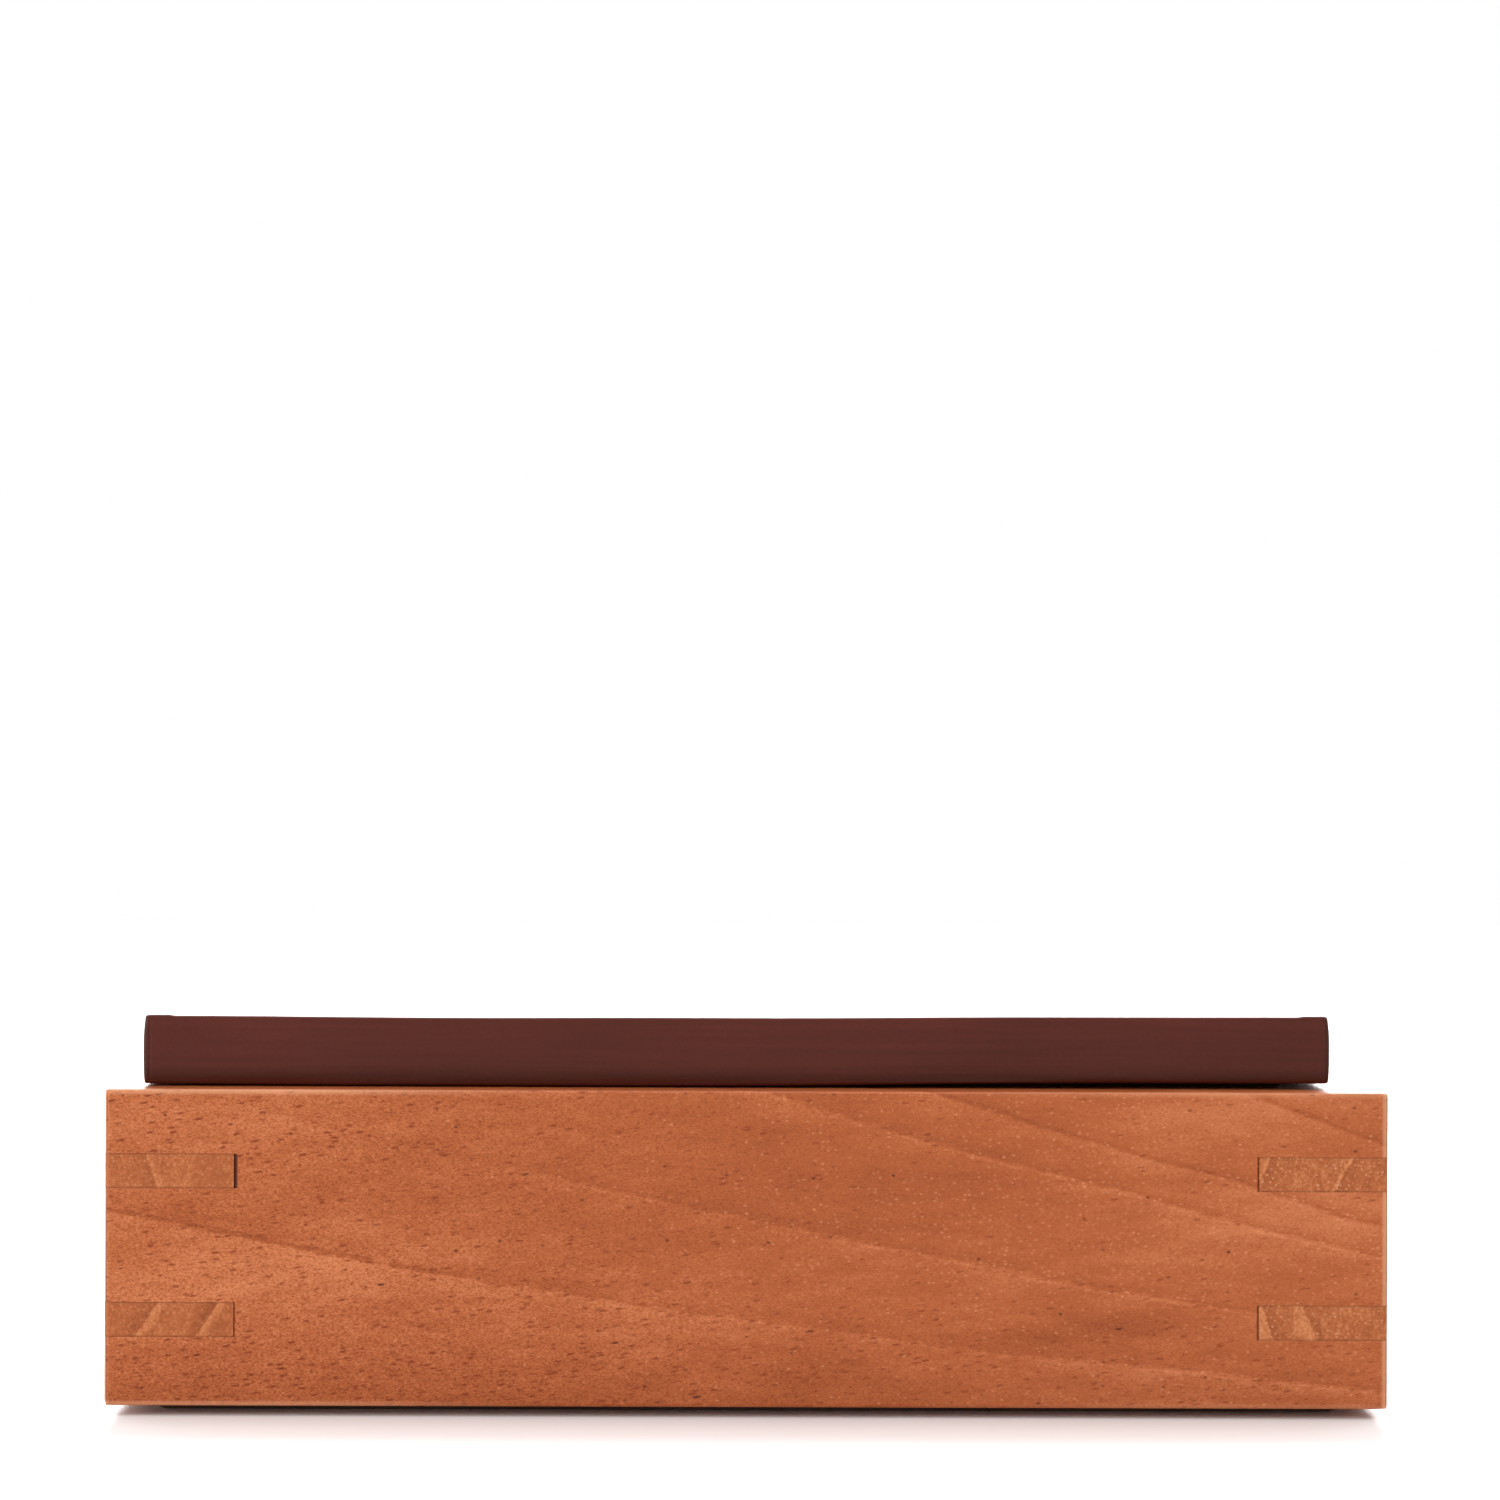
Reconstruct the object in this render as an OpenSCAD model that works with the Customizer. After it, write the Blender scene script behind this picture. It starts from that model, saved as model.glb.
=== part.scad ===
// Square hardwood box with keyed mitre corners and a loose, leather-covered lid.
// Millimetres. +Z is up and the front wall faces -Y. The origin is on the ground, under the
// middle of the box. The four walls are mitred boards, and each corner is locked by two flat
// keys, glued into saw cuts that cross the mitre. The lid lies on the rim by its own weight,
// and a panel under it drops into the opening so that it can't slide off.

/* [Box] */
// Outside length of each side of the square box
box_w = 160; // [130:1:220]
// Height of the walls
wall_h = 39.4; // [36:0.1:80]
// Thickness of the boards that the walls are cut from
wall_t = 13; // [12:0.5:18]
// Radius of the four upright outside corners
corner_r = 0.8; // [0.3:0.1:2]
// Radius of the eased long edges of each board
arris_r = 0.5; // [0.2:0.1:1]
// Radius of the left board's lower outside edge, which is eased more than the others
left_foot_r = 1; // [0.2:0.1:2]

/* [Corner keys] */
// Thickness of a key, and of the saw cut that it fills
key_t = 4.35; // [2:0.05:6]
// Length of a saw cut along each outside face, from the corner
kerf_leg = 16.4; // [10:0.1:17]
// Gap left between a key and the bottom of its saw cut
key_gap = 0.2; // [0:0.05:0.5]
// Depth of the upper row's middle below the rim
upper_drop = 10.15; // [5:0.05:14]
// Depth of the lower row's middle below the rim
lower_drop = 28.65; // [20:0.05:30]

/* [Bottom] */
// Thickness of the bottom panel
bottom_t = 4; // [3:0.5:5]
// Width of the step in each wall that the bottom panel is let into
rabbet_w = 5; // [3:0.5:8]
// Gap all round the bottom panel, for the wood to move in
panel_gap = 0.2; // [0.1:0.1:0.5]
// Thickness of the suede on the floor of the box
floor_lining_t = 1; // [0.5:0.1:2]
// Thickness of the pad that the box stands on
pad_t = 1.25; // [0.8:0.05:3]
// Distance from the outside of the box to the edge of the pad
pad_inset = 6; // [4:0.5:7]

/* [Lid] */
// Distance from the outside of the box to the edge of the lid, when the lid is in the middle
lid_inset = 5.35; // [3:0.05:7]
// Thickness of the covered slab
slab_t = 8.4; // [6:0.1:14]
// How far each side of the slab swells out at mid height
side_swell = 0.25; // [0.1:0.05:0.4]
// Radius of the slab's edges
slab_edge_r = 0.5; // [0.3:0.1:0.6]
// Thickness of the leather
leather_t = 0.6; // [0.6:0.1:1]
// Width of the leather turned in under the slab
turn_in = 14; // [8:0.5:20]
// Sideways place of the lid, which lies a little left of the middle
lid_shift = -1.3; // [-1.5:0.1:1.5]
// Thickness of the suede seat between the slab and the rim
seat_t = 0.35; // [0.3:0.05:2]
// Distance from the edge of the slab to the edge of the seat
seat_inset = 5.6; // [4:0.1:6]
// Gap all round between the locating panel and the walls, with the lid in the middle
locator_gap = 1.8; // [1.7:0.1:3]
// How far the locating panel reaches below the rim
locator_drop = 4; // [3:0.5:10]
// Bevel along the lower edges of the locating panel
locator_bevel = 1; // [0.5:0.1:1.5]

/* [Hidden] */
CORNERS = ["front_left", "front_right", "back_right", "back_left"];
ROWS = ["upper", "lower"];
function key_name(corner, row) = str("key_", CORNERS[corner], "_", ROWS[row]);
$fn = 48;

drops = [upper_drop, lower_drop];
foot_radii = [arris_r, arris_r, arris_r, left_foot_r];
rim_z = pad_t + wall_h;
opening_w = box_w - 2 * wall_t;
slab_z = rim_z + seat_t;
lid_w = box_w - 2 * lid_inset;
seat_w = lid_w - 2 * seat_inset;
locator_w = opening_w - 2 * locator_gap;
pad_corner_r = 1.5;
locator_corner_r = 1;
swell_r = (pow(slab_t / 2 - slab_edge_r, 2) + pow(side_swell, 2)) / (2 * side_swell);
cut = 1; // how far a cutting shape runs past what it cuts

mahogany = "#b9683f";
key_wood = "#bd6f41";
panel_wood = "#a8613a";
burgundy = "#5c2e27";
dark_suede = "#3a2723";
taupe = "#5f4a40";

// A square of side w about the middle, with corners of radius r.
module rounded_square(w, r) {
    square([w, w - 2 * r], center = true);
    square([w - 2 * r, w], center = true);
    for (x = [-1, 1], y = [-1, 1]) translate([x, y] * (w / 2 - r)) circle(r);
}

// What is left of a square corner when it is eased to radius r: the sliver to cut away.
// The corner is at the origin, and the material lies towards +X and +Y.
module ease(r) {
    difference() {
        translate([-cut, -cut]) square(r + cut);
        translate([r, r]) circle(r);
    }
}

// Section of a wall: the outside is at 0, the inside at wall_t, and the step for the bottom
// panel is in the lower inside corner. The lower outside edge is eased to foot_r.
module wall_section(foot_r) {
    difference() {
        square([wall_t, wall_h]);
        ease(foot_r);
        translate([0, wall_h]) mirror([0, 1]) ease(arris_r);
        translate([wall_t, wall_h]) rotate(180) ease(arris_r);
        translate([wall_t - rabbet_w, -cut]) square([rabbet_w + cut, bottom_t + cut]);
    }
}

// The space inside the box's outside faces, from the pad to the rim.
module outline() {
    translate([0, 0, pad_t]) linear_extrude(wall_h) rounded_square(box_w, corner_r);
}

// A flat triangle of the given leg, standing in the front left corner of the box.
// It runs past the outside faces by the given margin, and its long side stays put.
module corner_triangle(leg, margin) {
    translate([-box_w / 2, -box_w / 2])
        polygon([[-margin, -margin], [leg + margin, -margin], [-margin, leg + margin]]);
}

// The saw cuts across the front left corner, one for each row of keys.
module kerfs() {
    for (drop = drops) translate([0, 0, rim_z - drop - key_t / 2])
        linear_extrude(key_t) corner_triangle(kerf_leg, cut);
}

// One wall, as a board with a mitre at each end. Side 0 is the front, then anticlockwise.
module wall(side) {
    color(mahogany) rotate(90 * side) difference() {
        intersection() {
            translate([-box_w / 2, -box_w / 2, pad_t]) rotate([90, 0, 90])
                linear_extrude(box_w) wall_section(foot_radii[side]);
            linear_extrude(rim_z + cut)
                polygon([[-box_w / 2, -box_w / 2], [box_w / 2, -box_w / 2], [0, 0]]);
            outline();
        }
        kerfs();
        rotate(90) kerfs();
    }
}

// One key, flush with both outside faces and short of the bottom of its saw cut.
module key(corner, row) {
    color(key_wood) rotate(90 * corner) intersection() {
        translate([0, 0, rim_z - drops[row] - key_t / 2])
            linear_extrude(key_t) corner_triangle(kerf_leg - key_gap * sqrt(2), cut);
        outline();
    }
}

// The panel let into the bottom of the walls, flush with their lower edges.
module bottom_panel() {
    w = opening_w + 2 * rabbet_w - 2 * panel_gap;
    color(panel_wood) translate([-w / 2, -w / 2, pad_t]) cube([w, w, bottom_t]);
}

// Suede glued to the floor inside the box.
module floor_lining() {
    w = opening_w - 2 * panel_gap;
    color(dark_suede) translate([-w / 2, -w / 2, pad_t + bottom_t]) cube([w, w, floor_lining_t]);
}

// The thin pad under the box, which hides the joint round the bottom panel.
module base_pad() {
    color(taupe) linear_extrude(pad_t) rounded_square(box_w - 2 * pad_inset, pad_corner_r);
}

// A square slab with the given section on both its pairs of sides, from slab_z up. The section
// is the first child, and the second is the outline that rounds its upright corners.
module crossed_slab(w) {
    translate([0, 0, slab_z]) intersection() {
        rotate([90, 0, 90]) linear_extrude(w, center = true) children(0);
        rotate([90, 0, 0]) linear_extrude(w, center = true) children(0);
        linear_extrude(slab_t) children(1);
    }
}

// Section of the board inside the lid, with its upper edges eased. Its underside is stepped
// back round the edge, so that the leather turned in there lies flush.
module board_section() {
    w = lid_w - 2 * leather_t;
    field_w = lid_w - 2 * turn_in;
    difference() {
        translate([-w / 2, leather_t]) square([w, slab_t - 2 * leather_t]);
        for (x = [0, 1]) mirror([x, 0])
            translate([-w / 2, slab_t - leather_t]) mirror([0, 1]) ease(arris_r);
    }
    translate([-field_w / 2, 0]) square([field_w, slab_t / 2]);
}

module board_form() {
    crossed_slab(lid_w) {
        board_section();
        square(lid_w, center = true);
    }
}

module lid_board() {
    color(panel_wood) translate([lid_shift, 0, 0]) board_form();
}

// Section of the covered slab: eased edges, and sides that swell in a shallow arc between them.
module slab_section() {
    flat_w = lid_w - 2 * side_swell;
    r = slab_edge_r;
    translate([0, slab_t / 2]) {
        square([flat_w, slab_t - 2 * r], center = true);
        square([flat_w - 2 * r, slab_t], center = true);
        for (x = [-1, 1]) {
            for (y = [-1, 1]) translate([x * (flat_w / 2 - r), y * (slab_t / 2 - r)]) circle(r);
            intersection() {
                translate([x * (lid_w / 2 - swell_r), 0]) circle(swell_r, $fn = 360);
                translate([x * flat_w / 2, 0]) square([2 * cut, slab_t - 2 * r], center = true);
            }
        }
    }
}

// The leather, wrapped over the top and sides of the board and turned in underneath.
module lid_cover() {
    color(burgundy) translate([lid_shift, 0, 0]) difference() {
        crossed_slab(lid_w + cut) {
            slab_section();
            rounded_square(lid_w, leather_t);
        }
        board_form();
    }
}

// The suede under the slab, which covers the edges of the turned-in leather. The lid rests on
// its outer part, and the locating panel is fixed to its middle.
module lid_seat() {
    color(dark_suede) translate([lid_shift, 0, rim_z]) linear_extrude(seat_t)
        square(seat_w, center = true);
}

// Section of the locating panel, with its lower edges bevelled to find the opening.
module locator_section() {
    half = locator_w / 2;
    polygon([
        [-half, locator_drop], [-half, locator_bevel], [-half + locator_bevel, 0],
        [half - locator_bevel, 0], [half, locator_bevel], [half, locator_drop],
    ]);
}

// The panel under the lid that keeps it in place over the opening.
module lid_locator() {
    color(mahogany) translate([lid_shift, 0, rim_z - locator_drop]) intersection() {
        rotate([90, 0, 90]) linear_extrude(locator_w, center = true) locator_section();
        rotate([90, 0, 0]) linear_extrude(locator_w, center = true) locator_section();
        linear_extrude(locator_drop) rounded_square(locator_w, locator_corner_r);
    }
}

wall(0);  // front_wall
wall(1);  // right_wall
wall(2);  // back_wall
wall(3);  // left_wall
for (corner = [0:3], row = [0:1]) {
    key(corner, row);
}
bottom_panel();
floor_lining();
base_pad();
lid_board();
lid_cover();
lid_seat();
lid_locator();
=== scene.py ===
# %% [markdown]
# # A keyed mahogany box with a leather-covered lid
#
# The box is four mitred boards, locked at each corner by two flat keys that cross the mitre.
# A loose lid lies on the rim: a thin board wrapped in burgundy leather, with suede under it and
# a panel that drops into the opening. A thin pad under the box lifts it just off the table.
#
# The construction comes in as a fixed frame, in metres, with +Z up and the front facing -Y.
# This lesson gives that frame its looks. The wooden parts keep their own shape and get a finish.
# The leather, the suede and the pad are soft, so new surfaces stand for their plain solids.

# %% Load the frame
import math
from collections import namedtuple

import bpy
import numpy as np
from mathutils import Matrix, Vector


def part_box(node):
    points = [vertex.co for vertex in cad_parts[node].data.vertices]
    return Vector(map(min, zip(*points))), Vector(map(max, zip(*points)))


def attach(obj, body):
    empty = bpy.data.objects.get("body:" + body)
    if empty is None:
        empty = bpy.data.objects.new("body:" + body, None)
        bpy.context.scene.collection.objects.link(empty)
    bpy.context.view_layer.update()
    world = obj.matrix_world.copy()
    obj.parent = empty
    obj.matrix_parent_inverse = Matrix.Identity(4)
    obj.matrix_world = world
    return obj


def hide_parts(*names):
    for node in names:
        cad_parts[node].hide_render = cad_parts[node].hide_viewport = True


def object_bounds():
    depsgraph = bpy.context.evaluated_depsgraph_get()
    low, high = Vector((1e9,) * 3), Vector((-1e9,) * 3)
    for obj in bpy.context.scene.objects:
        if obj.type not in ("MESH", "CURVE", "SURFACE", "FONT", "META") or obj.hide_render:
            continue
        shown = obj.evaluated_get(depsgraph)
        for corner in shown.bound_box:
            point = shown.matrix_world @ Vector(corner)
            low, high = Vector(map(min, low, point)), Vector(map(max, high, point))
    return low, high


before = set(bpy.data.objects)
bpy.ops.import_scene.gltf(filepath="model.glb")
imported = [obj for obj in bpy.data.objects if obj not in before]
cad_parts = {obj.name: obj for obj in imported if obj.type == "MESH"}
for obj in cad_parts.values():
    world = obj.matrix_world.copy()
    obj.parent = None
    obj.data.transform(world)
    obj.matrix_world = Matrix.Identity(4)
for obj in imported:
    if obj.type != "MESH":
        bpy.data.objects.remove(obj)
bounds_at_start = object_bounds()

MM = 0.001
SIDES = ["front", "right", "back", "left"]
CORNERS = ["front_left", "front_right", "back_right", "back_left"]
ROWS = ["upper", "lower"]
scene = bpy.context.scene
low, high = bounds_at_start
wall_low, wall_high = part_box("front_wall")
print("whole object, mm:", [round((b - a) / MM, 2) for a, b in zip(low, high)])

# %% [markdown]
# ## The camera
#
# A product like this is shown from straight in front and a little above, with a long lens, so
# that the front face keeps its true proportions and the top shrinks to a sliver. A camera
# could be tilted down to put the box in the middle. It is kept level instead, so the upright
# edges stay upright, and the box then lies low in the picture. The hand that held it turned it
# a fraction of a degree, and that is part of the view.

# %% Place the camera
LENS = 105.0
SENSOR = 36.0
CAMERA_AWAY = 545.1 * MM
CAMERA_UP = 82.8 * MM
CAMERA_LEFT = 2.28 * MM
TURNED_RIGHT = math.radians(0.26)
TILTED_UP = math.radians(0.04)
ROLLED = math.radians(0.22)

camera = bpy.data.objects.new("camera", bpy.data.cameras.new("camera"))
scene.collection.objects.link(camera)
camera.data.lens = LENS
camera.data.sensor_width = SENSOR
camera.data.clip_start = 0.01
camera.data.clip_end = 100.0
camera.matrix_world = (
    Matrix.Translation((-CAMERA_LEFT, wall_low.y - CAMERA_AWAY, CAMERA_UP))
    @ Matrix.Rotation(-TURNED_RIGHT, 4, "Z")
    @ Matrix.Rotation(math.radians(90) + TILTED_UP, 4, "X")
    @ Matrix.Rotation(ROLLED, 4, "Z")
)
scene.camera = camera
view_direction = camera.matrix_world.to_3x3() @ Vector((0, 0, -1))
print("camera looks along", [round(x, 4) for x in view_direction])

# %% [markdown]
# ## Sums that become nodes
#
# A finish that varies over a surface is worked out by nodes, and long chains of them are hard
# to read. Here one small class, Wire, stands for a node's output, and sums with it add the
# Math nodes. Everything else goes through Nodes.node, which takes a node's type, its
# settings and its inputs. A finish then reads as arithmetic.

# %% A wire that can be used in sums
def sum_of(operation, turned=False):
    """An operator for Wire: a Math node on the two values, with the other value first if turned."""

    def method(self, other):
        first, second = (other, self) if turned else (self, other)
        return self.nodes.node("Math", {"operation": operation}, {0: first, 1: second})

    return method


class Wire:
    """One output of a node, for use in sums."""

    def __init__(self, nodes, socket):
        self.nodes = nodes
        self.socket = socket

    def other(self, name):
        """Another output of the same node."""
        return Wire(self.nodes, self.socket.node.outputs[name])

    def __abs__(self):
        """The value without its sign."""
        return self.nodes.node("Math", {"operation": "ABSOLUTE"}, {0: self})

    __add__ = sum_of("ADD")
    __radd__ = sum_of("ADD", turned=True)
    __sub__ = sum_of("SUBTRACT")
    __rsub__ = sum_of("SUBTRACT", turned=True)
    __mul__ = sum_of("MULTIPLY")
    __rmul__ = sum_of("MULTIPLY", turned=True)
    __truediv__ = sum_of("DIVIDE")


print("wires can be added, taken away, multiplied and divided")


# %% The nodes of a finish, or of the room
class Nodes:
    """The nodes of a material or a world, as they are put together."""

    def __init__(self, owner):
        owner.use_nodes = True
        self.tree = owner.node_tree
        self.tree.nodes.clear()

    def node(self, kind, settings, inputs, out=0):
        """Adds a node, sets it up, feeds its inputs with values or wires, and gives one output."""
        made = self.tree.nodes.new("ShaderNode" + kind)
        for name, value in settings.items():
            if name == "stops":
                self.set_stops(made.color_ramp.elements, value)
            else:
                setattr(made, name, value)
        for name, value in inputs.items():
            if isinstance(value, Wire):
                self.tree.links.new(value.socket, made.inputs[name])
            else:
                made.inputs[name].default_value = value
        return Wire(self, made.outputs[out])

    def set_stops(self, elements, stops):
        """Gives a colour ramp its stops, which are pairs of a place and a colour."""
        while len(elements) < len(stops):
            elements.new(1.0)
        for element, (place, colour) in zip(elements, stops):
            element.position = place
            element.color = opaque(colour)

    def larger(self, first, second):
        """The larger of two values."""
        return self.node("Math", {"operation": "MAXIMUM"}, {0: first, 1: second})

    def close(self, kind, shader):
        """Joins a shader to an output node of the given kind."""
        output = self.tree.nodes.new("ShaderNode" + kind)
        self.tree.links.new(shader.socket, output.inputs["Surface"])


def opaque(colour):
    """A colour of three numbers, with full opacity."""
    return (*colour, 1.0)


print("every other node is made by Nodes.node")


# %% A finish, and the ways to build one
class Finish(Nodes):
    """A material as it is put together. Lengths in it are millimetres once placed() is used."""

    def __init__(self, name):
        self.material = bpy.data.materials.new(name)
        super().__init__(self.material)

    def placed(self, turn=(0, 0, 0), middle=(0, 0, 0)):
        """Object coordinates in millimetres, turned by the given degrees, then counted from middle."""
        return self.node(
            "Mapping",
            {"vector_type": "POINT"},
            {
                "Vector": self.node("TexCoord", {}, {}, out="Object"),
                "Scale": (1 / MM, 1 / MM, 1 / MM),
                "Rotation": [math.radians(angle) for angle in turn],
                "Location": [-value for value in middle],
            },
        )

    def axes(self, place):
        """The three coordinates of a place."""
        x = self.node("SeparateXYZ", {}, {0: place})
        return x, x.other("Y"), x.other("Z")

    def vector(self, operation, first, second):
        """A sum on two places, coordinate by coordinate."""
        return self.node("VectorMath", {"operation": operation}, {0: first, 1: second})

    def stretched(self, place, lengths, turn=0.0):
        """A place turned about Y by some degrees, then measured in the lengths along X, Y and Z."""
        turned = self.node(
            "VectorRotate",
            {"rotation_type": "Y_AXIS"},
            {"Vector": place, "Angle": math.radians(turn)},
        )
        return self.vector("DIVIDE", turned, lengths)

    def cloudy(self, place, lengths, detail=2.0):
        """Smooth noise about zero, whose clouds have the given lengths."""
        noise = self.node(
            "TexNoise",
            {"noise_dimensions": "3D"},
            {"Vector": self.stretched(place, lengths), "Scale": 1.0, "Detail": detail},
        )
        return noise - 0.5

    def ruffled(self, place, lengths, amount):
        """A place pushed about by noise of the given lengths, so that what is drawn there is ragged."""
        stretched = {"Vector": self.stretched(place, lengths), "Scale": 1.0}
        noise = self.node("TexNoise", {}, stretched, out="Color")
        centred = self.vector("SUBTRACT", noise, (0.5, 0.5, 0.5))
        push = self.node("VectorMath", {"operation": "SCALE"}, {0: centred, "Scale": amount})
        return self.vector("ADD", place, push)

    def fade(self, value, start, end):
        """Goes smoothly from 0 where value is start to 1 where it is end."""
        return self.node(
            "MapRange",
            {"interpolation_type": "SMOOTHSTEP"},
            {"Value": value, "From Min": start, "From Max": end},
        )

    def ramp(self, value, stops):
        """The colour at a value, between the colours of the stops."""
        return self.node("ValToRGB", {"stops": stops}, {0: value})

    def mixed(self, amount, first, second):
        """The first colour, going over to the second by the amount."""
        settings = {"data_type": "RGBA", "clamp_factor": True}
        return self.node("Mix", settings, {0: amount, 6: first, 7: second}, out=2)

    def surface(self, colour, roughness, specular, height, depth, sheen=None):
        """Closes the finish with a Principled shader, and a bump of the given depth in millimetres."""
        bump = self.node("Bump", {}, {"Height": height, "Distance": depth * MM, "Strength": 1.0})
        inputs = {"Base Color": colour, "Roughness": roughness, "Specular IOR Level": specular}
        inputs = {**inputs, **(sheen or {}), "Normal": bump}
        self.close("OutputMaterial", self.node("BsdfPrincipled", {}, inputs))
        print(f"{self.material.name}: {len(self.tree.nodes)} nodes")
        return self.material


print("a finish can be placed, cloudy, ruffled, faded, ramped and mixed")

# %% [markdown]
# ## The room
#
# The table is a wide sheet of white board with a faint shine, and the room behind is white.
# Lighting the box until its surroundings burn out would wash out the wood as well. So the room
# and the table are made bright only for what looks at them straight, and the room also for
# what sees it in a reflection, while the light that falls on the box stays at a plain level.
# The table brightens by a factor and not by a glow, so the dark line of shadow under the box
# stays dark. Close to the box it brightens less, which is a painted shadow round the box. The
# shadow fades out farther away, so that the table meets the room without a line.

# %% The white room
ROOM_LIGHT = 0.7
WHITE = (1.0, 1.0, 1.0)

world = bpy.data.worlds.new("white_room")
scene.world = world
room = Nodes(world)
seen_straight = room.node("LightPath", {}, {}, out="Is Camera Ray")
looked_at = room.larger(seen_straight, seen_straight.other("Is Glossy Ray"))
looked_at = room.larger(looked_at, seen_straight.other("Is Transmission Ray"))
level = room.node("MapRange", {}, {"Value": looked_at, "To Min": ROOM_LIGHT, "To Max": 1.0})
glow = room.node("Background", {}, {"Color": opaque(WHITE), "Strength": level})
room.close("OutputWorld", glow)
print("the room lights the box at", ROOM_LIGHT)

# %% The table
TABLE_REACH = 1.5
TABLE_CORNERS = [(-1, -1), (1, -1), (1, 1), (-1, 1)]

sheet = bpy.data.meshes.new("table")
sheet.from_pydata([(x * TABLE_REACH, y * TABLE_REACH, 0) for x, y in TABLE_CORNERS], [], [(0, 1, 2, 3)])
table = bpy.data.objects.new("table", sheet)
scene.collection.objects.link(table)
print("table:", 2 * TABLE_REACH, "m across")

# %% The white board of the table
TABLE_WHITE = 0.9
TABLE_SEEN = 1.08
TABLE_SEEN_PAST_PAINTED_SHADOW = 1.5
TABLE_SHINE = 0.12
TABLE_ROUGHNESS = 0.16
PAINTED_SHADOW_FADE_FROM = 14.0
PAINTED_SHADOW_FADE_TO = 34.0


def white_board(name):
    """Matt white with a share of shine.

    Looked at straight, the white goes from TABLE_SEEN to TABLE_SEEN_PAST_PAINTED_SHADOW between two
    distances out from the box, which paints a soft shadow round it. A point's distance is the
    larger of |X| and |Y|."""
    finish = Finish(name)
    x, y, _ = finish.axes(finish.placed())
    box_edge = high.y / MM
    # Painted shadow: close to the box the table is seen darker, fading out between these two distances.
    away = finish.fade(finish.larger(abs(x), abs(y)), box_edge + PAINTED_SHADOW_FADE_FROM, box_edge + PAINTED_SHADOW_FADE_TO)
    matt, seen, seen_past_painted_shadow = [
        finish.node("BsdfDiffuse", {}, {"Color": opaque((level,) * 3)})
        for level in (TABLE_WHITE, TABLE_SEEN, TABLE_SEEN_PAST_PAINTED_SHADOW)
    ]
    seen = finish.node("MixShader", {}, {0: away, 1: seen, 2: seen_past_painted_shadow})
    seen_straight = finish.node("LightPath", {}, {}, out="Is Camera Ray")
    matt = finish.node("MixShader", {}, {0: seen_straight, 1: matt, 2: seen})
    shine = {"Color": opaque(WHITE), "Roughness": TABLE_ROUGHNESS}
    shine = finish.node("BsdfGlossy", {}, shine)
    finish.close("OutputMaterial", finish.node("MixShader", {}, {0: TABLE_SHINE, 1: matt, 2: shine}))
    return finish.material


sheet.materials.append(white_board("white_board"))
print("table white:", TABLE_WHITE, "seen as", TABLE_SEEN, "and, away from the box,", TABLE_SEEN_PAST_PAINTED_SHADOW)

# %% [markdown]
# ## The lamps
#
# Three soft boxes do the rest. A wide one hangs over the box, a little behind it, so it gives
# the top edges their pale line and lays a soft shadow in front. One stands low on the left,
# where its light rakes over the front and brings out the relief of the wood. The last is behind
# the box, out of view, and only its reflection counts: light that skims the lid and the rim at
# a low angle turns them white, as it does on any satin surface seen almost edge on.

# %% Three soft boxes
def softbox(name, place, towards, width, height, strength, only_reflected=False):
    """A rectangular lamp. Its strength is its brightness when looked at.

    A lamp that shines evenly in all directions gives off pi * width * height watts at a
    brightness of 1."""
    lamp = bpy.data.lights.new(name, "AREA")
    lamp.shape = "RECTANGLE"
    lamp.size = width
    lamp.size_y = height
    lamp.energy = strength * math.pi * width * height
    holder = bpy.data.objects.new(name, lamp)
    scene.collection.objects.link(holder)
    direction = Vector(towards) - Vector(place)
    turn = direction.to_track_quat("-Z", "Y").to_matrix().to_4x4()
    holder.matrix_world = Matrix.Translation(place) @ turn
    holder.visible_camera = False
    holder.visible_diffuse = not only_reflected
    print(f"{name}: {lamp.energy:.1f} W")


softbox("overhead", (0, 0.2, 1.05), towards=(0, 0, 0), width=1.1, height=0.9, strength=2.2)
softbox("low_left", (-1.0, -0.6, 0.22), towards=(0, -0.08, 0), width=0.6, height=0.4, strength=6.0)
softbox(
    "behind", (0, 1.5, 0.9), (0, 0, 0.05), width=3.6, height=1.7, strength=6.0, only_reflected=True
)

# %% [markdown]
# ## Mahogany
#
# The walls are one plank of mahogany, cut up and turned round the box. Growth lines cross the
# face at a slant, a hard line each with a darker side. A flat picture of wood could be wrapped
# round the boards, but its figure would stop at each edge. Here the figure is worked out in the
# depth of the wood, so it runs over the edges and into the mitres, as it does in a sawn board.
#
# The lines could be drawn one by one. They are one sum instead: each point of the wood gets a
# place among them, as a height above a slope, bent and made uneven by noise.

# %% A board's own axes
class Board(Finish):
    """A finish in a board's own axes: X along the grain, Y into the board from its face, and Z
    across the grain, in millimetres.

    turn and middle bring the board to these axes, and shift is the part of the plank that it
    comes from. rightwards and upwards go from 0 at the lower left of the face to 1."""

    def __init__(self, name, turn, middle, shift):
        super().__init__(name)
        self.place = self.placed(turn, middle)
        self.along, self.into, self.across = self.axes(self.place)
        self.rightwards = self.fade(self.along, -55.0, 35.0)
        self.upwards = self.fade(self.across, -19.0, 4.0)
        self.inner = self.vector("ADD", self.place, (shift,) * 3)
        self.ragged = self.ruffled(self.inner, (0.35, 0.2, 0.2), 0.32)
        self.clouds = self.cloudy(self.inner, (60, 22, 22))
        self.fibre = self.cloudy(self.ragged, (0.9, 0.42, 0.36))
        crinkle = self.cloudy(self.ragged, (0.38, 0.2, 0.17), 1.0)
        self.crinkle = crinkle - 2.0 * crinkle * crinkle


print("a board's grain runs along X, and its face looks along -Y")

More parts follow.
